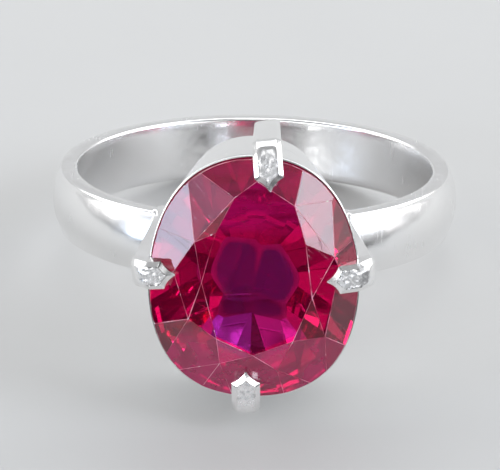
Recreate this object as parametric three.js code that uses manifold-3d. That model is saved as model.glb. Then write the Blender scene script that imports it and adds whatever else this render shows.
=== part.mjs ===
// A silver finger ring: a plain domed band, an oval collet and four claws round a faceted red stone.
// Millimetres. While the pieces are made, the middle of the stone's girdle is the origin, +Z runs out of
// the finger through the stone, +Y runs along the finger and +X across it. The last section lays it down.
import * as THREE from "three";
import { mergeVertices } from "three/addons/utils/BufferGeometryUtils.js";
import Module from "manifold-3d";

const wasm = await Module();
wasm.setup();

// Band
const FINGER_RADIUS = 9.1;
const BAND_WIDTH = 3.2;
const BAND_EDGE_THICK = 0.9;
const BAND_CROWN_THICK = 1.25;
const BAND_EDGE_ROUND = 0.14;
const BAND_SEGMENTS = 120;
const DOME_STEPS = 8;

// Stone outline and depth
const STONE_WIDTH = 10;
const STONE_LENGTH = 11.95;
const STONE_TAPER = 0.047; // share by which the outline narrows at the top and widens at the bottom
const STONE_FULLNESS = 0.16; // share by which the outline swells past a plain oval
const GIRDLE_THICK = 0.24;
const CROWN_HEIGHT = 1.35;
const PAVILION_DEPTH = 4.2;
const OUTLINE_SEGMENTS = 96;
const STAND = 14.2; // middle of the finger hole to the girdle

// Facets, cut by hand and so not quite regular. First the corners of the table and the points below it where
// its star facets end, all named as seen from the front.
const STONE_CORNERS = {
  tableTopRight: [1.91, 4.02, CROWN_HEIGHT],
  tableUpperRight: [2.46, 2.12, CROWN_HEIGHT],
  tableRight: [2.81, -0.55, CROWN_HEIGHT],
  tableLowerRight: [1.93, -2.75, CROWN_HEIGHT],
  tableBottom: [0, -3.5, CROWN_HEIGHT],
  tableLowerLeft: [-1.75, -2.69, CROWN_HEIGHT],
  tableLeft: [-2.5, 0.15, CROWN_HEIGHT],
  tableUpperLeft: [-1.85, 2.62, CROWN_HEIGHT],
  tableTopLeft: [-0.97, 4.39, CROWN_HEIGHT],
  tipRight: [3.85, 1.45, 1.13],
  tipLowerRight: [3.47, -2.64, 0.93],
  tipBottom: [1.18, -4.35, 0.97],
  tipLowerLeft: [-1.59, -4.02, 1.04],
  tipLeft: [-3.12, -1.77, 1.1],
  tipUpperLeft: [-2.86, 2.12, 1.2],
  tipTop: [-0.1, 5.14, 1],
  girdleUpperRight: [3.88, 3.963, 0.14],
  girdleUpperLeft: [-2.896, 5.048, 0.2],
};
// Star facets, then the main facets of the crown, each through three corners
const CROWN_FACETS = [
  ["tableTopRight", "tableUpperRight", "tipRight"],
  ["tableUpperRight", "tableRight", "tipRight"],
  ["tableRight", "tableLowerRight", "tipLowerRight"],
  ["tableLowerRight", "tableBottom", "tipBottom"],
  ["tableBottom", "tableLowerLeft", "tipLowerLeft"],
  ["tableLowerLeft", "tableLeft", "tipLeft"],
  ["tableLeft", "tableUpperLeft", "tipUpperLeft"],
  ["tableUpperLeft", "tableTopLeft", "tipUpperLeft"],
  ["tableTopLeft", "tableTopRight", "tipTop"],
  ["tableTopRight", "girdleUpperRight", "tipRight"],
  ["tableRight", "tipRight", "tipLowerRight"],
  ["tableLowerRight", "tipLowerRight", "tipBottom"],
  ["tableBottom", "tipBottom", "tipLowerLeft"],
  ["tableLowerLeft", "tipLowerLeft", "tipLeft"],
  ["tableLeft", "tipLeft", "tipUpperLeft"],
  ["tableTopLeft", "girdleUpperLeft", "tipUpperLeft"],
];
// Facets that touch the girdle at an angle round the outline and a level, and run up to a corner
const GIRDLE_FACETS = [
  { angle: 107, level: 0.12, through: "tableTopLeft" },
  { angle: 69, level: 0.12, through: "tableTopRight" },
  { angle: 49, level: 0.02, through: "tableTopRight" },
  { angle: 28, level: 0.02, through: "tipRight" },
  { angle: 10, level: 0.08, through: "tipRight" },
  { angle: -17.5, level: 0.12, through: "tipLowerRight" },
  { angle: -40.5, level: 0.12, through: "tipLowerRight" },
  { angle: -62.75, level: 0.12, through: "tipBottom" },
  { angle: -84.25, level: 0.12, through: "tipBottom" },
  { angle: -106, level: 0.12, through: "tipLowerLeft" },
  { angle: -128, level: 0.12, through: "tipLowerLeft" },
  { angle: -149.75, level: 0.12, through: "tipLeft" },
  { angle: -171.25, level: 0.12, through: "tipLeft" },
  { angle: 147, level: 0, through: "tipUpperLeft" },
  { angle: 166, level: 0.06, through: "tipUpperLeft" },
];
// Pavilion: main facets that would meet at the culet, lower girdle facets between them, and four shallow belly
// facets that meet at one point, each sloping away from it by shares across and along
const PAVILION_MAINS = 8;
const FIRST_MAIN = -69.5; // degrees round the outline
const CULET = [0, -0.2];
const LOWER_FACET_REACH = 0.74; // share of the pavilion depth where the lower girdle facets end
const LOWER_FACET_SHARES = [0.25, 0.75]; // of the way from one main facet to the next
const BELLY_POINT = [-0.1, -1.15, -3.3];
const BELLY_SLOPES = [
  [-0.3, 0.1],
  [0.36, -0.02],
  [0.26, -0.38],
  [-0.3, -0.38],
];

// Collet
const RIM_OVERHANG = 0.14;
const COLLET_WALL = 0.75;
const COLLET_TOP = -0.1;
const BASE_SHARE_X = 0.8;
const BASE_SHARE_Y = 0.93;

// Claws
const CLAW_WIDTH = 1.38;
const CLAW_THICK = 0.92;
const CLAW_ROOT_NARROW = 1.2;
const CLAW_ROOT_WIDE = 3.0;
const CLAW_TIP_LENGTH = 0.6;
const CLAW_TIP_HOLLOW = 1.1; // radius filed out of each side of the tip
const CLAW_POINT = 0.08; // width left at the tip
const CLAW_BOTTOM = -7.1;
const CLAW_BEND_START = -0.2;
const CLAW_BEND_CORNER = 0.68;
const CLAW_BEND_END = 0.1; // outside the girdle
const CLAW_BEND_TOP = 0.9;
const CLAW_CURVE_STEPS = 8;
const HOLLOW_SEGMENTS = 36;
const CLAWS = [
  { name: "claw_top", foot: [0.6, 5.96], outward: 96, reach: 1.27, rise: 0.42, root: CLAW_ROOT_NARROW },
  { name: "claw_bottom", foot: [-0.3, -5.95], outward: 271, reach: 1.5, rise: 0.3, root: CLAW_ROOT_NARROW },
  { name: "claw_left", foot: [-4.97, 0.28], outward: 187, reach: 1.18, rise: 0.26, root: CLAW_ROOT_WIDE },
  { name: "claw_right", foot: [4.94, 0.32], outward: 4, reach: 1.4, rise: 0.44, root: CLAW_ROOT_WIDE },
];

// Fit
const SOLDER_GAP = 0.04;
const SEAT_GROWTH = 1.012;
const BLOCK = 40; // side of a cutting block, larger than the ring
const CUT_MARGIN = 1; // how far a cut runs past the metal or the stone
const WELD = 1e-4;
const TANGENT_STEP = 0.5; // degrees

// Rest: the steepest tip tried, in degrees, and how often the range is halved
const STEEPEST_TIP = 30;
const TIP_HALVINGS = 40;

const SILVER = { color: 0xd8dadd, roughness: 0.22, metalness: 1 };
const RED_CRYSTAL = { color: 0x9a0b3c, roughness: 0.04, metalness: 0 };

const radians = THREE.MathUtils.degToRad;

function solidFrom(geometry) {
  const bare = geometry.clone();
  bare.deleteAttribute("normal");
  bare.deleteAttribute("uv");
  const merged = mergeVertices(bare, WELD);
  const vertProperties = merged.attributes.position.array;
  const triVerts = new Uint32Array(merged.index.array);
  return new wasm.Manifold(new wasm.Mesh({ numProp: 3, vertProperties, triVerts }));
}

function meshFrom(solid, name, look) {
  const { vertProperties, triVerts } = solid.getMesh();
  const indexed = new THREE.BufferGeometry();
  indexed.setAttribute("position", new THREE.BufferAttribute(vertProperties, 3));
  indexed.setIndex(new THREE.BufferAttribute(triVerts, 1));
  const geometry = indexed.toNonIndexed();
  geometry.computeVertexNormals();
  const mesh = new THREE.Mesh(geometry, new THREE.MeshStandardMaterial(look));
  mesh.name = name;
  return mesh;
}

// Outline of the stone, grown outwards by a margin
function outlinePoint(angle, margin = 0) {
  const across = Math.cos(angle) * (1 - STONE_TAPER * Math.sin(angle));
  const along = Math.sin(angle) * (1 + STONE_FULLNESS * Math.cos(angle) ** 2);
  return new THREE.Vector2((STONE_WIDTH / 2 + margin) * across, (STONE_LENGTH / 2 + margin) * along);
}

// Solid with the stone's outline, from one level to another, narrowing towards the finger by the given shares
function ovalDrum(low, high, margin, shareX, shareY) {
  const geometry = new THREE.CylinderGeometry(1, 1, high - low, OUTLINE_SEGMENTS, 1);
  geometry.rotateX(Math.PI / 2);
  const spots = geometry.attributes.position;
  for (let i = 0; i < spots.count; i += 1) {
    const level = spots.getZ(i) + (low + high) / 2;
    const depthShare = Math.max(0, -level) / (STAND - FINGER_RADIUS);
    const radius = Math.hypot(spots.getX(i), spots.getY(i));
    const edge = outlinePoint(Math.atan2(spots.getY(i), spots.getX(i)), margin).multiplyScalar(radius);
    const across = edge.x * (1 - (1 - shareX) * depthShare);
    const along = edge.y * (1 - (1 - shareY) * depthShare);
    spots.setXYZ(i, across, along, level);
  }
  return solidFrom(geometry);
}

function fingerHole() {
  const geometry = new THREE.CylinderGeometry(FINGER_RADIUS, FINGER_RADIUS, BLOCK, BAND_SEGMENTS);
  geometry.translate(0, 0, -STAND);
  return solidFrom(geometry);
}

// Facets: each is a flat plane through three points, and everything outside it is ground away
function facetPlane(a, b, c) {
  const plane = new THREE.Plane().setFromCoplanarPoints(a, b, c);
  return plane.constant > 0 ? plane.negate() : plane;
}

function grind(solid, plane) {
  const block = new THREE.BoxGeometry(BLOCK, BLOCK, BLOCK);
  block.translate(0, 0, BLOCK / 2);
  block.applyQuaternion(new THREE.Quaternion().setFromUnitVectors(new THREE.Vector3(0, 0, 1), plane.normal));
  const touch = plane.normal.clone().multiplyScalar(-plane.constant);
  block.translate(touch.x, touch.y, touch.z);
  return solid.subtract(solidFrom(block));
}

// Plane that rests on the girdle at one angle, tangent to the outline there, and passes through a point
function girdlePlane(angle, level, through) {
  const step = radians(TANGENT_STEP);
  const before = outlinePoint(angle - step);
  const after = outlinePoint(angle + step);
  const touch = outlinePoint(angle);
  const slide = after.sub(before);
  const onGirdle = new THREE.Vector3(touch.x, touch.y, level);
  const beside = new THREE.Vector3(touch.x + slide.x, touch.y + slide.y, level);
  return facetPlane(onGirdle, beside, through);
}

// Point where two planes meet at a given height
function meetAt(one, other, height) {
  const mixed = one.normal.dot(other.normal);
  const onBoth = new THREE.Vector3()
    .addScaledVector(one.normal, other.constant * mixed - one.constant)
    .addScaledVector(other.normal, one.constant * mixed - other.constant)
    .divideScalar(1 - mixed * mixed);
  const ridge = one.normal.clone().cross(other.normal);
  return onBoth.addScaledVector(ridge, (height - onBoth.z) / ridge.z);
}

function makeStone() {
  const corner = (name) => new THREE.Vector3(...STONE_CORNERS[name]);
  const planes = CROWN_FACETS.map((names) => facetPlane(...names.map(corner)));
  for (const { angle, level, through } of GIRDLE_FACETS) {
    planes.push(girdlePlane(radians(angle), level, corner(through)));
  }
  const lowEdge = -GIRDLE_THICK / 2;
  const culet = new THREE.Vector3(...CULET, -PAVILION_DEPTH);
  const turn = (2 * Math.PI) / PAVILION_MAINS;
  const angles = Array.from({ length: PAVILION_MAINS }, (_, i) => radians(FIRST_MAIN) + i * turn);
  const mains = angles.map((angle) => girdlePlane(angle, lowEdge, culet));
  mains.forEach((main, i) => {
    const next = mains[(i + 1) % PAVILION_MAINS];
    const tip = meetAt(main, next, -PAVILION_DEPTH * LOWER_FACET_REACH);
    planes.push(main);
    for (const share of LOWER_FACET_SHARES) planes.push(girdlePlane(angles[i] + turn * share, lowEdge, tip));
  });
  for (const [across, along] of BELLY_SLOPES) {
    const facing = new THREE.Vector3(across, along, -1).normalize();
    planes.push(new THREE.Plane().setFromNormalAndCoplanarPoint(facing, new THREE.Vector3(...BELLY_POINT)));
  }
  const rough = ovalDrum(-PAVILION_DEPTH - CUT_MARGIN, CROWN_HEIGHT, 0, 1, 1);
  return planes.reduce(grind, rough);
}

// Collet: a tapered oval wall with a seat cut for the stone, filed to the finger hole at the back
function makeCollet(seat, hole) {
  const outer = ovalDrum(-STAND, COLLET_TOP, RIM_OVERHANG, BASE_SHARE_X, BASE_SHARE_Y);
  const inset = RIM_OVERHANG - COLLET_WALL;
  const inner = ovalDrum(-STAND - CUT_MARGIN, CUT_MARGIN, inset, BASE_SHARE_X, BASE_SHARE_Y);
  return outer.subtract(inner).subtract(seat).subtract(hole);
}

// How far the collet's wall leans inwards for each millimetre towards the finger, at a claw
function wallLean(claw) {
  const share = Math.abs(claw.foot[0]) > Math.abs(claw.foot[1]) ? BASE_SHARE_X : BASE_SHARE_Y;
  return (Math.hypot(...claw.foot) * (1 - share)) / (STAND - FINGER_RADIUS);
}

// Side view of a claw: up the outside of the collet, over the girdle and down onto the crown. The inner side
// runs through the stone and the collet, which are cut out of it later.
function clawBlock(claw, thick, tipWidth, rootWidth) {
  const lean = wallLean(claw);
  const inside = -claw.reach - CLAW_THICK;
  const side = new THREE.Shape();
  side.moveTo(-claw.reach, CLAW_BEND_START);
  side.lineTo(inside, CLAW_BOTTOM);
  side.lineTo(thick + lean * CLAW_BOTTOM, CLAW_BOTTOM);
  side.lineTo(thick, CLAW_BEND_START);
  side.quadraticCurveTo(thick, CLAW_BEND_CORNER, CLAW_BEND_END, CLAW_BEND_TOP);
  side.lineTo(-claw.reach, CLAW_BEND_TOP + claw.rise);
  const geometry = new THREE.ExtrudeGeometry(side, {
    depth: 1,
    steps: 1,
    bevelEnabled: false,
    curveSegments: CLAW_CURVE_STEPS,
  });
  geometry.translate(0, 0, -0.5);
  const spots = geometry.attributes.position;
  for (let i = 0; i < spots.count; i += 1) {
    const level = Math.min(spots.getY(i), CLAW_BEND_START);
    const width = THREE.MathUtils.mapLinear(level, CLAW_BOTTOM, CLAW_BEND_START, rootWidth, tipWidth);
    spots.setZ(i, spots.getZ(i) * width);
  }
  return placedAtClaw(solidFrom(geometry), claw);
}

function placedAtClaw(solid, claw) {
  const outward = new THREE.Vector3(Math.cos(radians(claw.outward)), Math.sin(radians(claw.outward)), 0);
  const up = new THREE.Vector3(0, 0, 1);
  const place = new THREE.Matrix4().makeBasis(outward, up, outward.clone().cross(up));
  place.setPosition(claw.foot[0], claw.foot[1], 0);
  return solid.transform(place.elements);
}

// One of two hollows filed into the end of a claw, from its side edge to its point
function tipHollow(claw, side) {
  const point = new THREE.Vector2(0, CLAW_POINT / 2);
  const shoulder = new THREE.Vector2(CLAW_TIP_LENGTH, CLAW_WIDTH / 2);
  const chord = shoulder.clone().sub(point);
  const outwards = new THREE.Vector2(-chord.y, chord.x).normalize();
  const offset = Math.sqrt(CLAW_TIP_HOLLOW ** 2 - chord.lengthSq() / 4);
  const centre = point.lerp(shoulder, 0.5).addScaledVector(outwards, offset);
  const geometry = new THREE.CylinderGeometry(
    CLAW_TIP_HOLLOW,
    CLAW_TIP_HOLLOW,
    2 * CROWN_HEIGHT,
    HOLLOW_SEGMENTS,
  );
  geometry.translate(centre.x - claw.reach, CROWN_HEIGHT, side * centre.y);
  return placedAtClaw(solidFrom(geometry), claw);
}

function makeClaw(claw, seat, colletBody, hole) {
  return clawBlock(claw, CLAW_THICK, CLAW_WIDTH, claw.root)
    .subtract(seat)
    .subtract(colletBody)
    .subtract(hole)
    .subtract(tipHollow(claw, 1))
    .subtract(tipHollow(claw, -1));
}

// Band: a domed section turned round the finger hole, opened where the collet and the side claws stand
function makeBand() {
  const half = BAND_WIDTH / 2;
  const ease = BAND_EDGE_ROUND;
  const section = [];
  const corner = (thick, level) => section.push(new THREE.Vector2(FINGER_RADIUS + thick, level));
  corner(0, ease - half);
  corner(ease, -half);
  corner(BAND_EDGE_THICK - ease, -half);
  for (let i = 0; i <= DOME_STEPS; i += 1) {
    const share = (2 * i) / DOME_STEPS - 1;
    corner(THREE.MathUtils.lerp(BAND_CROWN_THICK, BAND_EDGE_THICK, share * share), share * (half - ease));
  }
  corner(BAND_EDGE_THICK - ease, half);
  corner(ease, half);
  corner(0, half - ease);
  section.push(section[0].clone());
  const hoop = new THREE.LatheGeometry(section, BAND_SEGMENTS);
  hoop.translate(0, 0, -STAND);
  const gate = new THREE.BoxGeometry(STONE_WIDTH * BASE_SHARE_X, BLOCK, STAND);
  const sideClaws = CLAWS.filter(({ root }) => root === CLAW_ROOT_WIDE);
  const blocks = sideClaws.map((claw) => clawBlock(claw, CLAW_THICK + SOLDER_GAP, BLOCK, BLOCK));
  return blocks.reduce((band, block) => band.subtract(block), solidFrom(hoop).subtract(solidFrom(gate)));
}

// The pieces
const stone = makeStone();
const seat = stone.scale([SEAT_GROWTH, SEAT_GROWTH, SEAT_GROWTH]);
const hole = fingerHole();
const colletBody = ovalDrum(-STAND, 0, RIM_OVERHANG + SOLDER_GAP, BASE_SHARE_X, BASE_SHARE_Y);
const ring = new THREE.Group();
ring.add(meshFrom(stone, "stone", RED_CRYSTAL));
ring.add(meshFrom(makeCollet(seat, hole), "collet", SILVER));
CLAWS.forEach((claw) => ring.add(meshFrom(makeClaw(claw, seat, colletBody, hole), claw.name, SILVER)));
ring.add(meshFrom(makeBand(), "band", SILVER));

// Laid down: the ring tips forwards until the bottom claw and the back of the band touch the floor together
function lowest(name, tip) {
  const turned = ring.getObjectByName(name).geometry.clone().rotateX(Math.PI / 2 - tip);
  turned.computeBoundingBox();
  return turned.boundingBox.min.z;
}

let flat = 0;
let steep = radians(STEEPEST_TIP);
for (let i = 0; i < TIP_HALVINGS; i += 1) {
  const middle = (flat + steep) / 2;
  if (lowest("claw_bottom", middle) < lowest("band", middle)) flat = middle;
  else steep = middle;
}
ring.rotation.x = Math.PI / 2 - flat;
const box = new THREE.Box3().setFromObject(ring, true);
const centre = box.getCenter(new THREE.Vector3());
ring.position.set(-centre.x, -centre.y, -box.min.z);

export default ring;
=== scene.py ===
"""Looks of a silver ring with a faceted red stone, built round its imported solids."""

import math
import random
from collections import namedtuple

import bmesh
import bpy
from bpy.props import FloatProperty, FloatVectorProperty, PointerProperty
from mathutils import Matrix, Vector, noise
from mathutils.bvhtree import BVHTree


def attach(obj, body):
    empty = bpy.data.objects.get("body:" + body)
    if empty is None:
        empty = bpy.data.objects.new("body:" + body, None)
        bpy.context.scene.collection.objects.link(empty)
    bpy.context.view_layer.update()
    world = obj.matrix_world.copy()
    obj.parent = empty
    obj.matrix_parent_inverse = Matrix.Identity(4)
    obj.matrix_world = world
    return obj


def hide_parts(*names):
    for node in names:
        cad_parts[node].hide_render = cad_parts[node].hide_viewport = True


bl_info = {
    "name": "Silver Ring with a Red Stone",
    "version": (1, 0, 0),
    "blender": (4, 5, 0),
    "location": "3D View > Sidebar > Ring",
    "description": "Builds the visible pieces of a claw-set ring round its solid model",
    "category": "Object",
}

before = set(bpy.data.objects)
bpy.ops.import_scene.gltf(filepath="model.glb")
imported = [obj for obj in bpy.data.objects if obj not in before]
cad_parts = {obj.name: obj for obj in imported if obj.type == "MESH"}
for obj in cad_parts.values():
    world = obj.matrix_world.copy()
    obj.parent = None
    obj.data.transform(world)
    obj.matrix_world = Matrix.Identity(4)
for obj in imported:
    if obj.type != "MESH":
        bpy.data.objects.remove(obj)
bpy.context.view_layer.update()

MM = 0.001

# Head axes, in millimetres: the middle of the stone's girdle is the origin, +Z runs out of the
# finger through the stone, +Y along the finger and +X across it. LAID turns them into the frame's
# metres, with the ring lying on its side.
HEAD_PLACE = (0, -10.74576172310793 * MM, 7.542964044473394 * MM)
HEAD_TILT = 1.3190431437438326
LAID = Matrix.Translation(HEAD_PLACE) @ Matrix.Rotation(HEAD_TILT, 4, "X") @ Matrix.Scale(MM, 4)
RAISED = LAID.inverted()
FAR = 30.0  # further out than any piece
COLLET_SMOOTH, CLAW_SMOOTH, BAND_SMOOTH, SOLDER_SMOOTH = 35, 24, 35, 60  # degrees
WELD = 1e-3  # points closer than this are one
CUT = 1e-6  # points that are closer than this to a cut lie on it
FOOT_ROUNDS, SHAFT_ROUNDS, INSIDE_ROUNDS, END_ROUNDS = 12, 8, 4, 40  # of each search

# Stone: its outline, and the wear of its facets' edges
OUTLINE_TAPER = 0.047
OUTLINE_FULLNESS = 0.16
GIRDLE_TOP = 0.14
CRYSTAL_IOR = 1.765
FACET_SEED = 11
ONE_FACET = math.radians(1)  # faces that turn less than this make one facet
LEAST_BEND = math.radians(2)  # edges flatter than this show no wear
UNWORN_EDGE = (3.9, 1.3)  # least Y and Z of the edge at the top of the table, which shows no wear
WEAR_SHARES = (0.3, 1.7)
WEAR_TILT = 1.6

# Stone: which facets cloud, and which get painted shade, a violet tint and darkening in the body
# colour that stands in for the dim light seen through the stone. A facet's normal has a Z of at
# least TABLE,
# STAR or CROWN, or of at most UNDER for the facets below the belly and BELLY for the belly itself.
# The ranges are degrees round the stone from +X.
TABLE, STAR, CROWN, UNDER, BELLY = 0.98, 0.9, 0.1, -0.5, -0.86
SILK_STARS = (60, 100)
SILK_CROWN = (60, 148)
HAZE_CROWN = (-150, -30)
STRIP = (-135, -48)
WEDGE = (-90, -78)
SILK_START, HAZE_START, TONE_START = (2.2, 3.3), (-1.8, -3.0), (-4.02, -3.87)  # along +Y
TONE_SLANT = 0.44
CROWN_SILK = 0.5
STRIP_RIGHT = 0.75  # share of violet right of the wedge
BELLY_AREA = 0.5  # smaller belly facets get no patch
BELLY_POINT = Vector((-0.1, -1.15))
BELLY_REACH = 1.9
BELLY_VIOLET = (0.35, 1.0)  # on the rims of the patches, far from the belly's point and at it
BELLY_DARK = (0.72, 0.88)
LOBE_GRID = 0.12
LOBE_ROUND = 0.15
LOBE_FADE = 0.14

# Collet
BASE_NARROWS = (0.2, 0.07)  # share by which it narrows at the finger, across it and along it
COLLET_COLUMNS = 192
WALL_ROWS = 9
RIM_ROWS = 5
DRUM_MORE = 0.3  # past the claws' lower ends
SEAT = 0.05  # past the stone's outline
SEAT_STEP = 0.06
SEAT_MARGINS = (-0.1, -0.3)
SEAT_GAP = 0.05  # between the seat and the stone's underside
SEAT_LEVEL = -0.4
SEAT_FALL = 0.1

# Side view of a claw, from the girdle, and the rows and columns of its mesh
CLAW_BOTTOM = -7.1
CLAW_BEND_START = -0.2
CLAW_BEND_CORNER = 0.68
CLAW_BEND_END = 0.1
CLAW_BEND_TOP = 0.9
CLAW_INNER_TOP = 0.1
CLAW_SHAFT = 4  # nominal length below the bend
CLAW_SPREAD = 0.8  # share of the way to the root's width that it widens
CLAW_OVER_STONE = -0.05  # a claw's underside lies on the stone up to here
CLEARANCE = 0.012  # between a claw and the stone or the collet
CORNER_WIDTH = 0.5
TIP_ROWS, FLAT_ROWS, BEND_ROWS, SHAFT_ROWS = 15, 17, 15, 21
FACE_COLUMNS, UNDER_COLUMNS = 17, 9
EDGE_SHARES = (0, 0.4, 0.85)
SIDE_SHARES = (0.33, 0.67)
HAMMER_FADE = 0.12
HAMMER_MARKS = (4.7, 9.3)

# Claws: node, foot on the outline, degrees outwards, reach inwards, rise to the tip, root's width
CLAWS = (
    ("claw_top", (0.6, 5.96), 96, 1.27, 0.42, 1.2),
    ("claw_bottom", (-0.3, -5.95), 271, 1.5, 0.3, 1.2),
    ("claw_left", (-4.97, 0.28), 187, 1.18, 0.26, 3.0),
    ("claw_right", (4.94, 0.32), 4, 1.4, 0.44, 3.0),
)
CLAW_LEFT, CLAW_RIGHT = CLAWS[2:]

# Band and solder
BAND_ROWS = 241
BAND_CROWN_COLUMNS, BAND_INSIDE_COLUMNS, BAND_EDGE_COLUMNS = 21, 9, 5
BAND_WOBBLE = 0.0006
BAND_WAVES = 0.35
BAND_SUNK = 0.03
BAND_END_MOST = math.radians(60)
SOLDER_LUMPS = (1.7, 4.1)
SOLDER_UNEVEN = 0.55
SOLDER_FLAT = 0.7
SOLDER_COLUMNS = 12

# Stage, in the frame's metres
FLOOR_MIDDLE = Vector((0, 0.28, 0))
NEAR_FLOOR = 0.3
FAR_FLOOR = 0.7
FLOOR_COLUMNS = 96
PHOTO_WIDTH = 500
FOCAL_PIXELS = 4112.47
SENSOR = 36
CAMERA_PLACE = (-0.000198, -0.178829, 0.112030)
CAMERA_FORWARD = (-0.00005, 0.85472, -0.51908)
CAMERA_RIGHT = (0.99991, 0.00703, 0.01147)
CAMERA_NEAREST = 0.01
LIGHT_BOUNCES, STONE_BOUNCES = 24, 20
VIEWER = (0.097, -0.793, 0.602)  # direction of the dark patch in the room where a viewer stands
ROOM_TINT = (0.97, 0.98, 1.0, 1.0)
PANEL_AWAY = 0.5

# Soft panels: name, degrees from the front and above the floor, light setting, share of it, tint
DAY, COOL, WARM = (0.97, 0.98, 1), (0.86, 0.91, 1), (1, 0.99, 0.98)
PANELS = (
    ("left_strip", (-72, -58.5), (-2.5, 22), "side", 1.25, (0.68, 0.8, 1)),
    ("left_soft", (-58, -51), (18, 27), "patch", 1.3, (0.85, 0.7, 1)),
    ("left_low", (-49, -34), (-1, 26), "wall", 1.8, DAY),
    ("left_front", (-30, -17), (27, 47), "wall", 0.6, DAY),
    ("right_low", (34, 49), (8, 26), "wall", 1.0, DAY),
    ("right_front", (22, 34), (28, 46), "wall", 0.3, DAY),
    ("top_front", (-10, 10), (58, 90), "wall", 0.4, DAY),
    ("right_soft", (78, 94), (1, 14), "patch", 1.3, (1, 0.95, 0.95)),
    ("right_panel", (61, 86), (15, 43), "side", 1.1, COOL),
    ("right_patch", (18.5, 25), (1.2, 7), "side", 1.1, COOL),
    ("left_wall", (-128, -88), (8, 36), "wall", 1.0, WARM),
    ("right_wall", (100, 135), (8, 36), "wall", 1.0, WARM),
    ("back_panel", (130, 230), (27, 62), "back", 1.0, (0.95, 0.97, 1)),
)


def millimetres(name, description, default):
    return FloatProperty(name=name, description=description, default=default, min=0, precision=4)


def amount(name, description, default):
    return FloatProperty(name=name, description=description, default=default)


def colour(name, description, default):
    return FloatVectorProperty(
        name=name, description=description, default=default, subtype="COLOR", min=0, max=1
    )


class RingSizes(bpy.types.PropertyGroup):
    """Sizes of the ring's pieces, in millimetres."""

    finger_radius: millimetres("Finger Radius", "Radius of the finger hole", 9.1)
    stand: millimetres("Stand", "Middle of the finger hole to the girdle", 14.2)
    band_width: millimetres("Band Width", "Along the finger", 3.2)
    band_edge: millimetres("Band Edge", "Thickness at the band's sides", 0.9)
    band_crown: millimetres("Band Crown", "Thickness along the band's middle", 1.25)
    band_round: millimetres("Band Rounding", "Radius of the band's four edges", 0.14)
    stone_width: millimetres("Stone Width", "Across the finger", 10.0)
    stone_length: millimetres("Stone Length", "Along the finger", 11.95)
    edge_wear: millimetres("Edge Wear", "Width of the worn strip along a facet's edge", 0.022)
    rim_overhang: millimetres("Rim Overhang", "How far the collet stands out past the stone", 0.14)
    rim_round: millimetres("Rim Rounding", "Radius of the collet's outer edge", 0.07)
    collet_wall: millimetres("Collet Wall", "Thickness of the collet", 0.75)
    collet_drop: millimetres("Collet Drop", "Girdle's middle to the collet's rim", 0.1)
    claw_width: millimetres("Claw Width", "Across a claw where it bends", 1.38)
    claw_thick: millimetres("Claw Thickness", "From the collet to the claw's outside", 0.92)
    claw_chamfer: millimetres("Claw Chamfer", "Width filed off along a claw's edges", 0.21)
    claw_fall: millimetres("Claw Chamfer Fall", "Depth filed off at a claw's edges", 0.13)
    claw_corner: millimetres("Claw Corner", "Depth filed off the corners of a claw's bend", 0.2)
    claw_tip: millimetres("Claw Tip", "Length over which a claw narrows to its point", 0.6)
    claw_hollow: millimetres("Claw Hollow", "Radius filed into each side of a tip", 1.1)
    claw_point: millimetres("Claw Point", "Width left at a tip", 0.08)
    hammer_depth: millimetres("Hammer Depth", "Depth of the marks on a claw's face", 0.04)
    solder: millimetres("Solder", "Radius of the solder seam", 0.16)


class RingColours(bpy.types.PropertyGroup):
    """Colours of the ring's finishes."""

    silver: colour("Silver", "Polished silver", (0.93, 0.925, 0.92))
    tarnish: colour("Tarnish", "Silver that the polish missed", (0.72, 0.72, 0.74))
    crystal: colour("Crystal", "Red crystal's body colour", (0.93, 0.01, 0.19))
    # The next three colours are painted shade: a violet tint and near-black tones that stand in for
    # the dim light seen through the stone under the belly.
    violet_painted_shade: colour("Crystal Violet", "Body colour under the belly", (0.06, 0.028, 0.3))
    lobe_painted_shade: colour("Crystal Belly", "Body colour of the belly's patches", (0.005, 0.008, 0.05))
    dark_painted_shade: colour("Crystal Wedge", "Body colour of the wedge under the belly", (0.008, 0.005, 0.01))
    depth: colour("Crystal Depth", "Light that is left after a long way inside", (0.95, 0.1, 0.55))
    cloud: colour("Crystal Cloud", "Where fine silk clouds the crystal", (0.55, 0.005, 0.13))
    worn: colour("Worn Edge", "Rubbed facet edges", (0.7, 0.28, 0.4))
    edge: colour("Facet Edge", "Facet edges that are hardly rubbed", (0.3, 0.015, 0.06))
    nick: colour("Nick", "Bright nicks in the facet edges", (0.95, 0.85, 0.9))
    floor: colour("Floor", "Pale floor", (0.55, 0.55, 0.54))


class RingStage(bpy.types.PropertyGroup):
    """Light and density settings."""

    density: amount("Crystal Density", "How fast the crystal takes light", 120.0)
    horizon: amount("Room Light", "Brightness of the room round the ring", 0.6)
    overhead: amount("Ceiling Light", "Brightness of the room above the ring", 0.3)
    wall: amount("Wall Light", "Brightness of the panels beside the ring", 2.5)
    side: amount("Side Light", "Brightness of the strongest side panels", 5.5)
    back: amount("Back Light", "Brightness of the panel behind", 2.0)
    patch: amount("Patch Light", "Brightness of the dim panels at the sides", 0.7)
    front: amount("Front Light", "Brightness of the room in front", 0.68)


class Field:
    """One output of a shader node. Sums on it add Math nodes to the same finish."""

    def __init__(self, finish, socket):
        self.finish = finish
        self.socket = socket

    def math(self, operation, *values):
        return self.finish.node("ShaderNodeMath", {"operation": operation}, dict(enumerate(values)))

    def __add__(self, other):
        return self.math("ADD", self, other)

    def __sub__(self, other):
        return self.math("SUBTRACT", self, other)

    def __rsub__(self, other):
        return self.math("SUBTRACT", other, self)

    def __mul__(self, other):
        return self.math("MULTIPLY", self, other)

    __radd__ = __add__
    __rmul__ = __mul__


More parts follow.
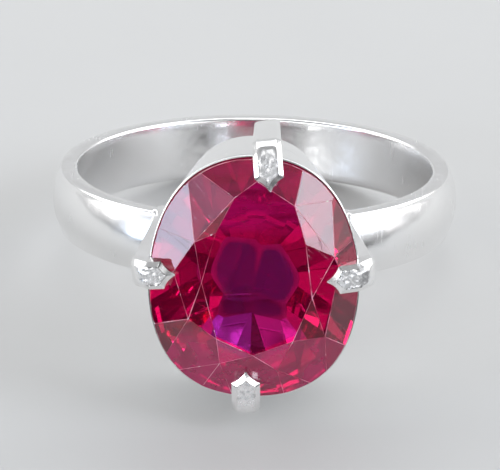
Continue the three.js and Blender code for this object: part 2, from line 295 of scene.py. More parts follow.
class Finish:
    """A material or a world and the nodes that make it."""

    def __init__(self, owner):
        self.owner = owner
        owner.use_nodes = True
        self.tree = owner.node_tree
        self.tree.nodes.clear()

    def node(self, kind, settings, sockets, out=0):
        """Adds a node, sets it up, fills its sockets and hands back one of its outputs."""
        made = self.tree.nodes.new(kind)
        for name, value in settings.items():
            setattr(made, name, value)
        for name, value in sockets.items():
            if isinstance(value, Field):
                self.tree.links.new(value.socket, made.inputs[name])
            else:
                made.inputs[name].default_value = value
        return Field(self, made.outputs[out]) if made.outputs else None

    def millimetres(self):
        place = self.node("ShaderNodeTexCoord", {}, {}, "Object")
        return self.node("ShaderNodeVectorMath", {"operation": "SCALE"}, {0: place, 3: 1 / MM})

    def noise(self, place, scale, detail=2.0, rough=0.5):
        return self.node(
            "ShaderNodeTexNoise",
            {},
            {"Vector": place, "Scale": scale, "Detail": detail, "Roughness": rough},
        )

    def turned(self, place, turn, stretch):
        return self.node(
            "ShaderNodeMapping", {}, {"Vector": place, "Rotation": turn, "Scale": stretch}
        )

    def attribute(self, name):
        return self.node("ShaderNodeAttribute", {"attribute_name": name}, {}, "Fac")

    def between(self, value, low, high):
        """0 up to low, 1 from high on, and a smooth step between them."""
        return self.node(
            "ShaderNodeMapRange",
            {"interpolation_type": "SMOOTHSTEP"},
            {"Value": value, "From Min": low, "From Max": high},
        )

    def mix(self, share, one, other):
        return self.node("ShaderNodeMix", {"data_type": "RGBA"}, {0: share, 6: one, 7: other}, 2)

    def bump(self, height, depth, under=None):
        sockets = {"Height": height, "Distance": depth * MM}
        if under:
            sockets["Normal"] = under
        return self.node("ShaderNodeBump", {}, sockets)

    def part_of(self, place, axis):
        """X, Y or Z of a place."""
        return self.node("ShaderNodeSeparateXYZ", {}, {"Vector": place}, axis)

    def dot(self, place, axis):
        return self.node(
            "ShaderNodeVectorMath", {"operation": "DOT_PRODUCT"}, {0: place, 1: axis}, "Value"
        )

    def along_finger(self, place):
        """Head Y of a place in the frame's millimetres."""
        axis = (LAID.to_3x3() @ Vector((0, 1, 0))).normalized()
        return self.dot(place, axis) - axis.dot(LAID.translation) / MM

    def shader(self, sockets):
        return self.node("ShaderNodeBsdfPrincipled", {}, sockets)

    def crystal(self, tone, rough, normal, clear):
        """Crystal that lets a share of the light through."""
        return self.shader(
            {
                "Base Color": tone,
                "Roughness": rough,
                "IOR": CRYSTAL_IOR,
                "Transmission Weight": clear,
                "Normal": normal,
            }
        )

    def surface(self, shader, volume=None):
        sockets = {"Surface": shader}
        if volume:
            sockets["Volume"] = volume
        self.node("ShaderNodeOutputMaterial", {}, sockets)
        return self.owner


def opaque(tint):
    return (*tint, 1.0)


def silver_finish(colours):
    """Polished silver with hairline scratches and smudges, dull grain where "hammer" says so."""
    f = Finish(bpy.data.materials.new("polished_silver"))
    place = f.millimetres()
    hammer = f.attribute("hammer")
    hairs = None
    for turn, scale in ((0.3, 9.0), (1.4, 7.0), (2.3, 11.0)):
        drawn_out = f.turned(place, (turn, 0.7 * turn, 1.9 * turn), (1, 0.06, 0.06))
        line = f.between(f.noise(drawn_out, scale, detail=3.0), 0.62, 0.72)
        hairs = line if hairs is None else hairs + line
    smudge = f.between(f.noise(place, scale=0.45, detail=4.0, rough=0.6), 0.4, 0.7)
    grain = f.noise(place, scale=6.0, detail=4.0, rough=0.65)
    dull = f.between(grain, 0.45, 0.7) * hammer
    tarnished = dull * 0.45 + smudge * 0.12
    waves = f.bump(f.noise(place, scale=0.55), depth=0.04)
    shader = f.shader(
        {
            "Base Color": f.mix(tarnished, opaque(colours.silver), opaque(colours.tarnish)),
            "Metallic": 1 - hammer * 0.3,
            "Roughness": 0.2 + smudge * 0.07 + hairs * 0.03 + hammer * 0.04 + dull * 0.06,
            "Normal": f.bump(hairs * -0.08 + grain * hammer, depth=0.012, under=waves),
        }
    )
    return f.surface(shader)


def tone_with_painted_shade(f, colours, along, place):
    """Red body colour, with painted shade where the facets say so: a violet tint on the strip under
    the belly, and a dark wedge and near-black patches on the belly.
    """
    aside = f.part_of(place, "X")
    in_front = f.between(along - aside.math("ABSOLUTE", aside) * TONE_SLANT, *TONE_START)
    violet_painted_shade = f.attribute("violet_painted_shade") * in_front
    dark_painted_shade = f.attribute("dark_painted_shade") * in_front
    strip = f.mix(violet_painted_shade, opaque(colours.crystal), opaque(colours.violet_painted_shade))
    wedge = f.mix(dark_painted_shade, strip, opaque(colours.dark_painted_shade))
    return f.mix(f.attribute("lobe_painted_shade"), wedge, opaque(colours.lobe_painted_shade))


def crystal_clouding(f, along, place):
    """Share of clouded crystal: streaked silk in the upper table, soft haze in the lower crown."""
    streaks = f.noise(f.turned(place, (0, 0, 0), (0.35, 1, 1.6)), scale=1.1, detail=4.0, rough=0.6)
    silk = f.between(along, *SILK_START) * (0.35 + f.between(streaks, 0.35, 0.65) * 0.65)
    patches = f.noise(place, scale=0.7, detail=4.0, rough=0.6)
    haze = f.between(along, *HAZE_START) * (0.5 + f.between(patches, 0.35, 0.65) * 0.5)
    return silk * f.attribute("silk") + haze * f.attribute("haze")


def crystal_finish(colours, stage):
    """Red crystal by plain transmission and absorption, with polishing lines on each facet and
    painted shade in the body colour under the belly.
    """
    f = Finish(bpy.data.materials.new("crimson_crystal"))
    place = f.millimetres()
    along = f.along_finger(place)
    turn = f.attribute("facet_turn")
    turns = f.node("ShaderNodeCombineXYZ", {}, {0: turn, 1: turn, 2: turn})
    euler = {"rotation_type": "EULER_XYZ"}
    laps = f.node("ShaderNodeVectorRotate", euler, {"Vector": place, "Rotation": turns})
    drawn_out = f.turned(laps, (0, 0, 0), (1, 0.05, 0.05))
    scratch = f.between(f.noise(drawn_out, scale=10.0, detail=3.0, rough=0.6), 0.62, 0.7)
    swell = f.bump(f.noise(place, scale=0.3, detail=1.0), depth=0.006)
    normal = f.bump(scratch * -1.0, depth=0.001, under=swell)
    rough = 0.012 + scratch * 0.02
    clear = f.crystal(tone_with_painted_shade(f, colours, along, place), rough, normal, clear=0.93)
    clouded = f.crystal(opaque(colours.cloud), rough, normal, clear=0.45)
    share = crystal_clouding(f, along, place)
    shader = f.node("ShaderNodeMixShader", {}, {0: share, 1: clear, 2: clouded})
    taking = {"Color": opaque(colours.depth), "Density": stage.density}
    return f.surface(shader, f.node("ShaderNodeVolumeAbsorption", {}, taking))


def worn_edge_finish(colours):
    """Facet edges rubbed pale in stretches, with bright nicks."""
    f = Finish(bpy.data.materials.new("worn_facet_edge"))
    place = f.millimetres()
    rubbed = f.between(f.noise(place, scale=0.8, detail=3.0, rough=0.6), 0.38, 0.62)
    nicks = f.between(f.noise(place, scale=4.5), 0.62, 0.7)
    tone = f.mix(rubbed, opaque(colours.edge), opaque(colours.worn))
    shader = f.shader(
        {
            "Base Color": f.mix(nicks, tone, opaque(colours.nick)),
            "Roughness": 0.25 + rubbed * 0.25,
        }
    )
    return f.surface(shader)


def floor_finish(colours):
    """Pale floor with a faint mottle."""
    f = Finish(bpy.data.materials.new("pale_floor"))
    mottle = f.noise(f.millimetres(), scale=0.05, detail=4.0)
    darker = tuple(0.94 * c for c in colours.floor)
    shader = f.shader(
        {
            "Base Color": f.mix(mottle, opaque(colours.floor), opaque(darker)),
            "Roughness": 0.6 + mottle * 0.15,
            "Specular IOR Level": 0.2,
        }
    )
    return f.surface(shader)


def finish_once(name, make, *settings):
    return bpy.data.materials.get(name) or make(*settings)


def silver(context):
    return finish_once("polished_silver", silver_finish, context.scene.ring_colours)


def piece_from(bm, name, node, finishes):
    """Puts a mesh made in head axes into the scene, on the root body, in place of a solid."""
    bmesh.ops.recalc_face_normals(bm, faces=bm.faces)
    bm.transform(LAID)
    mesh = bpy.data.meshes.new(name)
    bm.to_mesh(mesh)
    bm.free()
    piece = bpy.data.objects.new(name, mesh)
    bpy.context.scene.collection.objects.link(piece)
    for finish in finishes:
        mesh.materials.append(finish)
    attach(piece, "root")
    if node:
        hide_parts(node)
    return piece


def smooth(piece, degrees):
    piece.data.shade_smooth()
    piece.data.set_sharp_from_angle(angle=math.radians(degrees))


def tube(rows, capped):
    """Skin over closed rows of points, capped at its two ends or else joined up into a loop."""
    bm = bmesh.new()
    layers = [[bm.verts.new(p) for p in row] for row in rows]
    following = layers[1:] if capped else layers[1:] + layers[:1]
    for one, other in zip(layers, following):
        for i in range(len(one)):
            j = (i + 1) % len(one)
            bm.faces.new((one[i], one[j], other[j], other[i]))
    if capped:
        bm.faces.new(layers[0])
        bm.faces.new(layers[-1])
    return bm


def spread(count, low=0.0, high=1.0):
    return [low + (high - low) * i / (count - 1) for i in range(count)]


def all_round(count):
    return spread(count + 1, 0, 2 * math.pi)[:-1]


def lerp(a, b, share):
    return a + (b - a) * share


def clamp(value):
    return min(1.0, max(0.0, value))


def within(way, span):
    return span[0] < way < span[1]


def lumps(place, broad, fine):
    """Height of hand-worked metal at a point, from broad marks and finer ones."""
    return noise.noise(place * broad) + 0.6 * noise.noise(place * fine)


def outline(sizes, angle, margin=0.0):
    """Point on the stone's outline, grown outwards by a margin."""
    across = math.cos(angle) * (1 - OUTLINE_TAPER * math.sin(angle))
    along = math.sin(angle) * (1 + OUTLINE_FULLNESS * math.cos(angle) ** 2)
    return Vector(
        ((sizes.stone_width / 2 + margin) * across, (sizes.stone_length / 2 + margin) * along)
    )


def collet_point(sizes, angle, margin, level):
    """Point on the collet's tapered wall."""
    depth = max(0.0, -level) / (sizes.stand - sizes.finger_radius)
    edge = outline(sizes, angle, margin)
    across, along = (1 - share * depth for share in BASE_NARROWS)
    return Vector((edge.x * across, edge.y * along, level))


def hole_level(sizes, across):
    """Level of the finger hole's wall."""
    return math.sqrt(max(0.0, sizes.finger_radius**2 - across**2)) - sizes.stand


def head_tree(node):
    """Ray tree of a solid, in head axes."""
    bm = bmesh.new()
    bm.from_mesh(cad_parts[node].data)
    bm.transform(RAISED)
    tree = BVHTree.FromBMesh(bm)
    bm.free()
    return tree


def collet_drum(sizes):
    """Ray tree of the collet's outside before the finger hole is cut, a little past its ends."""
    angles = all_round(COLLET_COLUMNS)
    levels = (CLAW_BOTTOM - DRUM_MORE, -WELD)
    rows = [[collet_point(sizes, a, sizes.rim_overhang, z) for a in angles] for z in levels]
    bm = tube(rows, capped=True)
    tree = BVHTree.FromBMesh(bm)
    bm.free()
    return tree


def wall_lean(sizes, claw):
    """How far the collet's wall leans in for each millimetre towards the finger, at a claw."""
    foot = Vector(claw[1])
    narrows = BASE_NARROWS[0] if abs(foot.x) > abs(foot.y) else BASE_NARROWS[1]
    return foot.length * narrows / (sizes.stand - sizes.finger_radius)


def shaft_lean(lean, level):
    """Shift of a claw's shaft at a level, as it leans in with the collet's wall."""
    return lean * CLAW_BOTTOM * (CLAW_BEND_START - level) / (CLAW_BEND_START - CLAW_BOTTOM)


def edge_is_unworn(edge):
    least_y, least_z = UNWORN_EDGE
    return all(vert.co.y > least_y and vert.co.z > least_z for vert in edge.verts)


class RING_OT_stone(bpy.types.Operator):
    """Cut stone, with its facet edges worn"""

    bl_idname = "ring.stone"
    bl_label = "Cut Stone"

    def execute(self, context):
        colours = context.scene.ring_colours
        bm = bmesh.new()
        bm.from_mesh(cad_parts["stone"].data)
        bm.transform(RAISED)
        bmesh.ops.remove_doubles(bm, verts=bm.verts, dist=WELD)
        bmesh.ops.dissolve_limit(bm, angle_limit=ONE_FACET, verts=bm.verts, edges=bm.edges)
        bm.normal_update()
        draw = random.Random(FACET_SEED)
        for place, normal in self.wear(bm, context.scene.ring_sizes, draw):
            self.grind(bm, place, normal, finish=1)
        turns = bm.faces.layers.float.new("facet_turn")
        for face in bm.faces:
            face[turns] = draw.uniform(0, math.pi)
        self.zones(bm)
        finishes = (
            finish_once("crimson_crystal", crystal_finish, colours, context.scene.ring_stage),
            finish_once("worn_facet_edge", worn_edge_finish, colours),
        )
        piece_from(bm, "stone_cut", "stone", finishes)
        return {"FINISHED"}

    def wear(self, bm, sizes, draw):
        """Planes that cut off the crown's edges, each by its own depth and a little aslant."""
        cuts = []
        for edge in bm.edges:
            one, other = (face.normal for face in edge.link_faces)
            if max(one.z, other.z) < CROWN or min(one.z, other.z) < -CROWN:
                continue
            bend = one.angle(other)
            if bend < LEAST_BEND or edge_is_unworn(edge):
                continue
            start, end = (vert.co for vert in edge.verts)
            normal = (one + other).normalized()
            depth = sizes.edge_wear * draw.uniform(*WEAR_SHARES) * math.tan(bend / 2) / 2
            on_crown = min(one.z, other.z) > CROWN
            tilt = draw.uniform(-WEAR_TILT, WEAR_TILT) if on_crown else 0.0
            slant = (end - start) * tilt * depth / (end - start).length_squared
            cuts.append(((start + end) / 2 - normal * depth, (normal + slant).normalized()))
        return cuts

    def zones(self, bm):
        """Marks which facets cloud, and which get painted shade, turning violet or dark: the strip
        and the wedge under the belly, and rounded patches on the belly with their rims."""
        silk = bm.faces.layers.float.new("silk")
        haze = bm.faces.layers.float.new("haze")
        violet_painted_shade = bm.faces.layers.float.new("violet_painted_shade")
        dark_painted_shade = bm.faces.layers.float.new("dark_painted_shade")
        lobe_painted_shade = bm.verts.layers.float.new("lobe_painted_shade")
        bm.normal_update()
        for face in bm.faces:
            facing = face.normal.z
            way = math.degrees(math.atan2(face.normal.y, face.normal.x))
            if facing > TABLE or (facing > STAR and within(way, SILK_STARS)):
                face[silk] = 1.0
            elif facing > CROWN:
                face[silk] = CROWN_SILK if within(way, SILK_CROWN) else 0.0
                face[haze] = 1.0 if within(way, HAZE_CROWN) else 0.0
            # Painted shade: a violet tint on the strip under the belly, and a dark wedge in it.
            if BELLY < facing < UNDER and within(way, STRIP):
                face[violet_painted_shade] = 1.0 if way < WEDGE[0] else STRIP_RIGHT
                face[dark_painted_shade] = 1.0 if within(way, WEDGE) else 0.0
        bellies = [f for f in bm.faces if f.normal.z < BELLY and f.calc_area() > BELLY_AREA]
        bellies = [(face, self.sides(face)) for face in bellies]
        # Painted shade: each square of the belly gets a violet tint and darkening, more of both
        # near the belly's point.
        for face, sides in bellies:
            for piece in self.patch(bm, face, sides, lobe_painted_shade):
                away = (piece.calc_center_median().xy - BELLY_POINT).length
                near = clamp(BELLY_REACH - away)
                piece[violet_painted_shade] = lerp(*BELLY_VIOLET, near)
                piece[dark_painted_shade] = lerp(*BELLY_DARK, near)

    def sides(self, face):
        """One point of each side of a facet, and the direction from it into the facet."""
        corners = [vert.co.copy() for vert in face.verts]
        around = zip(corners, corners[1:] + corners[:1])
        return [(one, face.normal.cross(other - one).normalized()) for one, other in around]

    def patch(self, bm, face, sides, layer):
        """Splits a belly facet into small squares, marks a rounded patch of painted shade inside
        its sides and hands the squares back."""
        corners = [corner for corner, _ in sides]
        pieces = [face]
        for axis in (Vector((1, 0, 0)), Vector((0, 1, 0))):
            ends = [corner.dot(axis) for corner in corners]
            low, high = min(ends), max(ends)
            for place in spread(int((high - low) / LOBE_GRID) + 2, low, high)[1:-1]:
                edges = dict.fromkeys(edge for piece in pieces for edge in piece.edges)
                verts = dict.fromkeys(vert for piece in pieces for vert in piece.verts)
                cut = bmesh.ops.bisect_plane(
                    bm,
                    geom=[*verts, *edges, *pieces],
                    dist=CUT,
                    plane_co=axis * place,
                    plane_no=axis,
                )
                pieces = [g for g in cut["geom"] if isinstance(g, bmesh.types.BMFace)]
        for vert in dict.fromkeys(vert for piece in pieces for vert in piece.verts):
            depths = [(vert.co - one).dot(inward) for one, inward in sides]
            inside = -math.log(sum(math.exp(-d / LOBE_ROUND) for d in depths)) * LOBE_ROUND
            vert[layer] = clamp(inside / LOBE_FADE)
        return pieces

    def grind(self, bm, place, normal, finish):
        """Takes off what stands out past a plane and leaves a worn strip there."""
        every = bm.verts[:] + bm.edges[:] + bm.faces[:]
        cut = bmesh.ops.bisect_plane(
            bm, geom=every, dist=CUT, plane_co=place, plane_no=normal, clear_outer=True
        )
        rim = [e for e in cut["geom_cut"] if isinstance(e, bmesh.types.BMEdge)]
        for face in bmesh.ops.contextual_create(bm, geom=rim)["faces"]:
            face.material_index = finish


class RING_OT_collet(bpy.types.Operator):
    """Oval collet round the stone, filed to the finger hole"""

    bl_idname = "ring.collet"
    bl_label = "Collet"

    def execute(self, context):
        sizes = context.scene.ring_sizes
        stone = head_tree("stone")
        rows = [self.column(sizes, stone, angle) for angle in all_round(COLLET_COLUMNS)]
        bm = tube(rows, capped=False)
        finish = silver(context)
        smooth(piece_from(bm, "collet_filed", "collet", (finish,)), COLLET_SMOOTH)
        return {"FINISHED"}

    def column(self, sizes, stone, angle):
        """Section of the wall at one angle: up the outside, over the rim and down the inside."""
        top = -sizes.collet_drop
        outside = sizes.rim_overhang
        ease = sizes.rim_round
        inside = outside - sizes.collet_wall
        points = self.wall(sizes, angle, outside, top - ease)
        for turn in spread(RIM_ROWS, 0, math.pi / 2)[1:]:
            margin = outside - ease + ease * math.cos(turn)
            points.append(collet_point(sizes, angle, margin, top - ease + ease * math.sin(turn)))
        points.append(collet_point(sizes, angle, SEAT, top))
        points.append(collet_point(sizes, angle, SEAT, top - SEAT_STEP))
        for margin in (*SEAT_MARGINS, inside):
            spot = collet_point(sizes, angle, margin, SEAT_LEVEL)
            hit = stone.ray_cast(Vector((spot.x, spot.y, -FAR)), Vector((0, 0, 1)))[0]
            points.append(Vector((spot.x, spot.y, hit.z - SEAT_GAP)))
        return points + self.wall(sizes, angle, inside, points[-1].z - SEAT_FALL)[::-1]

    def wall(self, sizes, angle, margin, top):
        """Points up one side of the wall, from the finger hole."""
        foot = collet_point(sizes, angle, margin, -sizes.stand / 2)
        for _ in range(FOOT_ROUNDS):
            foot = collet_point(sizes, angle, margin, hole_level(sizes, foot.x))
        levels = spread(WALL_ROWS, foot.z, top)
        return [collet_point(sizes, angle, margin, level) for level in levels]


Station = namedtuple("Station", "along away level normal inner share")


class ClawShape:
    """A claw's form in head axes: rings of points from its tip to its root."""

    def __init__(self, sizes, claw, stone, drum):
        self.sizes = sizes
        self.node, foot, outward, self.reach, self.rise, self.root = claw
        turn = math.radians(outward)
        self.out = Vector((math.cos(turn), math.sin(turn), 0))
        self.side = Vector((math.sin(turn), -math.cos(turn), 0))
        self.foot = Vector((*foot, 0))
        self.lean = wall_lean(sizes, claw)
        self.stone = stone
        self.drum = drum
        point = Vector((0, sizes.claw_point / 2))
        shoulder = Vector((sizes.claw_tip, sizes.claw_width / 2))
        chord = shoulder - point
        offset = math.sqrt(sizes.claw_hollow**2 - chord.length_squared / 4)
        self.hollow = (point + shoulder) / 2 + Vector((-chord.y, chord.x)).normalized() * offset

    def spot(self, away, aside, level):
        return self.foot + self.out * away + self.side * aside + Vector((0, 0, level))

    def stations(self):
        """Middle of the claw's outside, over the stone, round the bend and down the collet."""
        sizes = self.sizes
        thick = sizes.claw_thick
        flat_end = self.reach + CLAW_BEND_END
        slope = Vector((self.rise, flat_end)).normalized()
        made = []
        tip = spread(TIP_ROWS, 0, sizes.claw_tip)[:-1]
        for along in tip + spread(FLAT_ROWS, sizes.claw_tip, flat_end):
            level = CLAW_BEND_TOP + self.rise * (1 - along / flat_end)
            made.append(Station(along, along - self.reach, level, slope, None, 0))
        start = Vector((CLAW_BEND_END, CLAW_BEND_TOP))
        corner = Vector((thick, CLAW_BEND_CORNER))
        end = Vector((thick, CLAW_BEND_START))
        for k in spread(BEND_ROWS)[1:]:
            place = start.lerp(corner, k).lerp(corner.lerp(end, k), k)
            way = (corner.lerp(end, k) - start.lerp(corner, k)).normalized()
            normal = Vector((-way.y, way.x))
            inner = lerp(CLAW_INNER_TOP, CLAW_BEND_START, k)
            made.append(Station(flat_end + k, place.x, place.y, normal, inner, 0))
        straight = Vector((1, 0))
        for k in spread(SHAFT_ROWS)[1:]:
            along = flat_end + 1 + CLAW_SHAFT * k
            made.append(Station(along, thick, CLAW_BEND_START, straight, CLAW_BEND_START, k))
        return made

    def widths(self, station):
        """Half width of the claw at a station, and of the flat face between its filed edges."""
        sizes = self.sizes
        half = lerp(sizes.claw_width / 2, self.root / 2, CLAW_SPREAD * station.share)
        wide = min(half, self.beside_hollow(station, sizes.claw_hollow))
        panel = self.beside_hollow(station, sizes.claw_hollow + sizes.claw_chamfer)
        return wide, max(0.0, min(half - sizes.claw_chamfer, panel))

    def beside_hollow(self, station, radius):
        """Half width left beside the hollows at the tip, if they had the given radius."""
        rise = radius**2 - (station.along - self.hollow.x) ** 2
        return self.hollow.y - math.sqrt(rise) if rise > 0 else FAR

    def past_bend(self, station):
        """How far a station lies past the start of the bend, which is 1 long."""
        return max(0.0, station.along - self.reach - CLAW_BEND_END)

    def fall(self, station, wide, aside):
        """Depth filed off a claw's edges and the corners of its bend."""
        sizes = self.sizes
        half = max(wide, sizes.claw_width / 2)
        to_hollow = (Vector((station.along, abs(aside))) - self.hollow).length
        from_edge = max(0.0, min(half - abs(aside), to_hollow - sizes.claw_hollow))
        chamfer = sizes.claw_fall * max(0.0, 1 - from_edge / sizes.claw_chamfer)
        corner = sizes.claw_corner * math.sin(math.pi * min(1.0, self.past_bend(station)))
        return chamfer + corner * max(0.0, 1 - from_edge / CORNER_WIDTH) ** 2

    def outside(self, station, aside, depth):
        """Point on the claw's outside, filed or marked to a depth."""
        away, level = station.away, station.level
        if station.share:
            for _ in range(SHAFT_ROUNDS):
                foot = hole_level(self.sizes, self.spot(away, aside, 0).x)
                level = lerp(CLAW_BEND_START, foot, station.share)
                away = station.away + shaft_lean(self.lean, level)
        return self.spot(away - depth * station.normal.x, aside, level - depth * station.normal.y)

    def inside(self, station, aside):
        """Point on the claw's inside, on the stone or on the collet."""
        if station.inner is None:
            above = self.spot(min(station.away, CLAW_OVER_STONE), aside, FAR)
            hit = self.stone.ray_cast(above, Vector((0, 0, -1)))[0]
            level = hit.z + CLEARANCE if hit else GIRDLE_TOP
            return Vector((above.x, above.y, level))
        level = station.inner
        place = self.on_wall(aside, level)
        if station.share:
            for _ in range(INSIDE_ROUNDS):
                level = lerp(station.inner, hole_level(self.sizes, place.x), station.share)
                place = self.on_wall(aside, level)
        return place

    def on_wall(self, aside, level):
        outer = self.spot(FAR, aside, level)
        hits = (tree.ray_cast(outer, -self.out)[0] for tree in (self.stone, self.drum))
        away = max((hit - self.foot).dot(self.out) for hit in hits if hit)
        return self.spot(away + CLEARANCE, aside, level)

    def ring(self, station):
        """Points round the claw at a station, each with its share of hammered face."""
        wide, panel = self.widths(station)
        edge = [lerp(wide, panel, k) for k in EDGE_SHARES]
        fading = clamp(1 - 2 * self.past_bend(station))
        points = []
        for aside in [-b for b in edge] + spread(FACE_COLUMNS, -panel, panel) + edge[::-1]:
            hammer = clamp((panel - abs(aside)) / HAMMER_FADE) * fading
            mark = Vector((station.along, aside, self.out.x + 2 * self.out.y))
            dent = self.sizes.hammer_depth * hammer * lumps(mark, *HAMMER_MARKS)
            depth = self.fall(station, wide, aside) + dent
            points.append((self.outside(station, aside, depth), hammer))
        under = [(self.inside(station, a), 0.0) for a in spread(UNDER_COLUMNS, wide, -wide)]
        down = [(points[-1][0].lerp(under[0][0], k), 0.0) for k in SIDE_SHARES]
        up = [(under[-1][0].lerp(points[0][0], k), 0.0) for k in SIDE_SHARES]
        return points + down + under + up


class RING_OT_claws(bpy.types.Operator):
    """Four flat claws, bent over the stone, with filed edges and hammered faces"""

    bl_idname = "ring.claws"
    bl_label = "Claws"

    def execute(self, context):
        sizes = context.scene.ring_sizes
        stone, drum = head_tree("stone"), collet_drum(sizes)
        finish = silver(context)
        for claw in CLAWS:
            shape = ClawShape(sizes, claw, stone, drum)
            rings = [shape.ring(station) for station in shape.stations()]
            bm = tube([[place for place, _ in ring] for ring in rings], capped=True)
            layer = bm.verts.layers.float.new("hammer")
            for vert, (_, hammer) in zip(bm.verts, sum(rings, [])):
                vert[layer] = hammer
            smooth(piece_from(bm, claw[0] + "_bent", claw[0], (finish,)), CLAW_SMOOTH)
        return {"FINISHED"}


class RING_OT_band(bpy.types.Operator):
    """Domed band between the two side claws"""

    bl_idname = "ring.band"
    bl_label = "Band"

    def execute(self, context):
        sizes = context.scene.ring_sizes
        section = band_section(sizes)
        ends = [(band_end(sizes, p, CLAW_RIGHT), band_end(sizes, p, CLAW_LEFT)) for p in section]
        rows = []
        for share in spread(BAND_ROWS):
            row = []
            for (radius, along), (right, left) in zip(section, ends):
                angle = lerp(right, 2 * math.pi + left, share)
                row.append(band_point(sizes, radius, along, angle))
            rows.append(row)
        bm = tube(rows, capped=True)
        finish = silver(context)
        smooth(piece_from(bm, "band_polished", "band", (finish,)), BAND_SMOOTH)
        return {"FINISHED"}


def band_section(sizes):
    """Outline of the band's section, as radius and place along the finger."""
    half = sizes.band_width / 2
    ease = sizes.band_round
    inner = sizes.finger_radius
    edge = inner + sizes.band_edge

    def corner(radius, along, first):
        turns = spread(BAND_EDGE_COLUMNS, first, first + math.pi / 2)
        return [(radius + ease * math.cos(t), along + ease * math.sin(t)) for t in turns]

    points = corner(inner + ease, ease - half, math.pi)
    points += corner(edge - ease, ease - half, 1.5 * math.pi)
    for share in spread(BAND_CROWN_COLUMNS, -1, 1)[1:-1]:
        thick = lerp(sizes.band_crown, sizes.band_edge, share * share)
        points.append((inner + thick, share * (half - ease)))
    points += corner(edge - ease, half - ease, 0)
    points += corner(inner + ease, half - ease, 0.5 * math.pi)
    inside = spread(BAND_INSIDE_COLUMNS, half - ease, ease - half)[1:-1]
    return points + [(inner, along) for along in inside]


def band_point(sizes, radius, along, angle):
    """Point on the band, which is a little uneven."""
    around = Vector((math.sin(angle) * radius, along, math.cos(angle) * radius))
    wobble = 1 + BAND_WOBBLE * noise.noise(around * BAND_WAVES)
    return Vector((around.x * wobble, along, around.z * wobble - sizes.stand))


def band_end(sizes, point, claw):
    """Angle round the band at which one line of its surface meets a side claw."""
    radius, along = point
    _, foot, outward, _, _, _ = claw
    turn = math.radians(outward)
    start = Vector((*foot, 0))
    out = Vector((math.cos(turn), math.sin(turn), 0))
    lean = wall_lean(sizes, claw)
    low, high = 0.0, math.copysign(BAND_END_MOST, foot[0])
    for _ in range(END_ROUNDS):
        middle = (low + high) / 2
        spot = Vector((math.sin(middle) * radius, along, math.cos(middle) * radius - sizes.stand))
        wall = sizes.claw_thick - BAND_SUNK + shaft_lean(lean, spot.z)
        if (spot - start).dot(out) < wall:
            low = middle
        else:
            high = middle
    return (low + high) / 2


class RING_OT_solder(bpy.types.Operator):
    """Solder seams where the band meets the side claws"""

    bl_idname = "ring.solder"
    bl_label = "Solder"

    def execute(self, context):
        sizes = context.scene.ring_sizes
        section = band_section(sizes)
        finish = silver(context)
        for name, claw in (("solder_right", CLAW_RIGHT), ("solder_left", CLAW_LEFT)):
            rows = [self.bead(sizes, section, i, claw) for i in range(len(section))]
            bm = tube(rows, capped=False)
            smooth(piece_from(bm, name, None, (finish,)), SOLDER_SMOOTH)
        return {"FINISHED"}

    def bead(self, sizes, section, i, claw):
        """Ring of points round the seam where a line of the band meets a claw."""
        radius, along = section[i]
        end = band_end(sizes, section[i], claw)
        centre = band_point(sizes, radius, along, end)
        before, after = section[i - 1], section[(i + 1) % len(section)]
        edge = Vector((after[1] - before[1], before[0] - after[0])).normalized()
        around = math.copysign(1, claw[1][0])
        outer = Vector((math.sin(end) * edge.x, edge.y, math.cos(end) * edge.x))
        along_band = Vector((math.cos(end) * around, 0, -math.sin(end) * around))
        size = sizes.solder * (1 + SOLDER_UNEVEN * lumps(centre, *SOLDER_LUMPS))
        row = []
        for t in all_round(SOLDER_COLUMNS):
            over = outer * size * SOLDER_FLAT * math.sin(t)
            row.append(centre + over + along_band * size * math.cos(t))
        return row


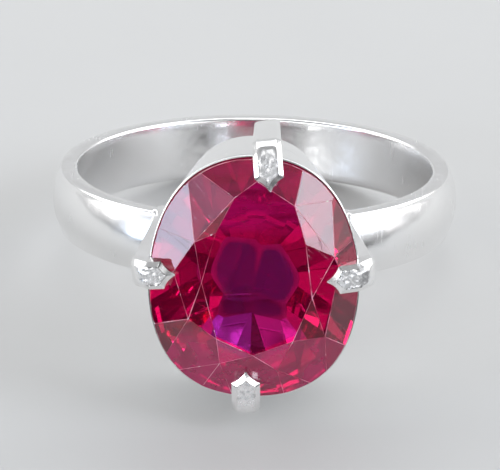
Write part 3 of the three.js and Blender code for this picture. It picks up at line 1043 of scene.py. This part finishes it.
class RING_OT_stage(bpy.types.Operator):
    """Floor, lights and camera"""

    bl_idname = "ring.stage"
    bl_label = "Stage"

    def execute(self, context):
        scene = context.scene
        self.floor(scene)
        self.camera(scene)
        self.room(scene)
        for name, across, up, setting, share, tint in PANELS:
            bright = share * getattr(scene.ring_stage, setting)
            self.panel(scene, name, across, up, bright, tint)
        scene.view_settings.view_transform = "Standard"
        scene.cycles.max_bounces = LIGHT_BOUNCES
        scene.cycles.transmission_bounces = STONE_BOUNCES
        return {"FINISHED"}

    def room(self, scene):
        """Soft room light: bright round the sides, dimmer overhead and in front, and faint from
        below, where reflections miss the outer part of the floor."""
        stage = scene.ring_stage
        f = Finish(bpy.data.worlds.new("room"))
        way = f.node("ShaderNodeTexCoord", {}, {}, "Generated")
        right, height = f.part_of(way, "X"), f.part_of(way, "Z")
        ahead = f.part_of(way, "Y") * -1.0

        above_floor = f.between(height, -0.12, -0.09)
        above_horizon = 0.35 + f.between(height, -0.03, 0.02) * 0.65
        overhead = f.between(height, 0.45, 0.95) * (stage.horizon - stage.overhead)
        side = above_floor * above_horizon * stage.horizon - overhead

        # In front: dimmer on the right, dark low down but for a short step on the left, dark where
        # the viewer stands, and faint straight ahead below the floor's edge
        leftward = 1 - f.between(right, -0.12, 0.05) * 0.6
        step = f.between(right, -0.02, -0.14) * f.between(right, -0.24, -0.18) * 0.056
        viewer = f.between(f.dot(way, VIEWER), 0.965, 0.982)
        front = f.between(height + step, 0.04, 0.09) * leftward * stage.front * (1 - viewer)
        straight = f.between(right, -0.42, -0.3) * f.between(right, 0.42, 0.3)
        front = front + f.between(height, -0.085, -0.105) * straight * 0.28

        steep_below = f.between(height, -0.27, -0.33) * 0.5
        strength = side + (front - side) * f.between(ahead, 0.6, 0.75) + steep_below
        light = f.node("ShaderNodeBackground", {}, {"Color": ROOM_TINT, "Strength": strength})
        f.node("ShaderNodeOutputWorld", {}, {"Surface": light})
        scene.world = f.owner

    def floor(self, scene):
        """Pale floor, whose outer part is left out of reflections and of what shows through the
        stone, so that it lays no glare on the facets."""
        finish = floor_finish(scene.ring_colours)
        ways = [Vector((math.cos(t), math.sin(t), 0)) for t in all_round(FLOOR_COLUMNS)]
        parts = (("floor", 0.0, NEAR_FLOOR), ("floor_far", NEAR_FLOOR, FAR_FLOOR))
        for name, inner, outer in parts:
            bm = bmesh.new()
            one, other = (
                [bm.verts.new(FLOOR_MIDDLE + way * radius) for way in ways]
                for radius in (inner, outer)
            )
            for i in range(len(ways)):
                bm.faces.new((one[i - 1], other[i - 1], other[i], one[i]))
            bmesh.ops.remove_doubles(bm, verts=bm.verts, dist=WELD * MM)
            mesh = bpy.data.meshes.new(name)
            bm.to_mesh(mesh)
            bm.free()
            mesh.materials.append(finish)
            floor = bpy.data.objects.new(name, mesh)
            scene.collection.objects.link(floor)
            floor.visible_glossy = inner == 0
            floor.visible_transmission = inner == 0

    def camera(self, scene):
        """Camera at the photograph's angle."""
        lens = bpy.data.cameras.new("camera")
        lens.sensor_width = SENSOR
        lens.lens = FOCAL_PIXELS * SENSOR / PHOTO_WIDTH
        lens.clip_start = CAMERA_NEAREST
        camera = bpy.data.objects.new("camera", lens)
        forward = Vector(CAMERA_FORWARD).normalized()
        right = Vector(CAMERA_RIGHT)
        right = (right - forward * right.dot(forward)).normalized()
        turn = Matrix((right, right.cross(forward), -forward)).transposed().to_4x4()
        camera.matrix_world = Matrix.Translation(CAMERA_PLACE) @ turn
        scene.collection.objects.link(camera)
        scene.camera = camera

    def panel(self, scene, name, across, up, bright, tint):
        """Soft panel that fills a range of degrees round the stone and above the floor."""
        light = bpy.data.lights.new(name, "AREA")
        light.shape = "RECTANGLE"
        light.size = 2 * PANEL_AWAY * math.tan(math.radians(across[1] - across[0]) / 2)
        light.size_y = 2 * PANEL_AWAY * math.tan(math.radians(up[1] - up[0]) / 2)
        light.energy = bright * math.pi * light.size * light.size_y
        light.color = tint
        lamp = bpy.data.objects.new(name, light)
        a, e = math.radians(sum(across) / 2), math.radians(sum(up) / 2)
        back = Vector((math.sin(a) * math.cos(e), -math.cos(a) * math.cos(e), math.sin(e)))
        lamp.location = LAID.translation + back * PANEL_AWAY
        lamp.rotation_euler = (-back).to_track_quat("-Z", "Y").to_euler()
        lamp.visible_camera = False
        scene.collection.objects.link(lamp)


class RING_PT_pieces(bpy.types.Panel):
    """The ring's pieces and their settings"""

    bl_idname = "RING_PT_pieces"
    bl_label = "Ring"
    bl_space_type = "VIEW_3D"
    bl_region_type = "UI"
    bl_category = "Ring"

    def draw(self, context):
        for operator in OPERATORS:
            self.layout.operator(operator.bl_idname)
        scene = context.scene
        for settings in (scene.ring_sizes, scene.ring_colours, scene.ring_stage):
            box = self.layout.box()
            for name in settings.__annotations__:
                box.prop(settings, name)


OPERATORS = (
    RING_OT_stone,
    RING_OT_collet,
    RING_OT_claws,
    RING_OT_band,
    RING_OT_solder,
    RING_OT_stage,
)
CLASSES = (RingSizes, RingColours, RingStage, *OPERATORS, RING_PT_pieces)


def register():
    for made in CLASSES:
        bpy.utils.register_class(made)
    bpy.types.Scene.ring_sizes = PointerProperty(type=RingSizes)
    bpy.types.Scene.ring_colours = PointerProperty(type=RingColours)
    bpy.types.Scene.ring_stage = PointerProperty(type=RingStage)


def unregister():
    del bpy.types.Scene.ring_stage
    del bpy.types.Scene.ring_colours
    del bpy.types.Scene.ring_sizes
    for made in reversed(CLASSES):
        bpy.utils.unregister_class(made)


def main():
    register()
    bpy.ops.ring.stone()
    bpy.ops.ring.collet()
    bpy.ops.ring.claws()
    bpy.ops.ring.band()
    bpy.ops.ring.solder()
    bpy.ops.ring.stage()


if __name__ == "__main__":
    main()
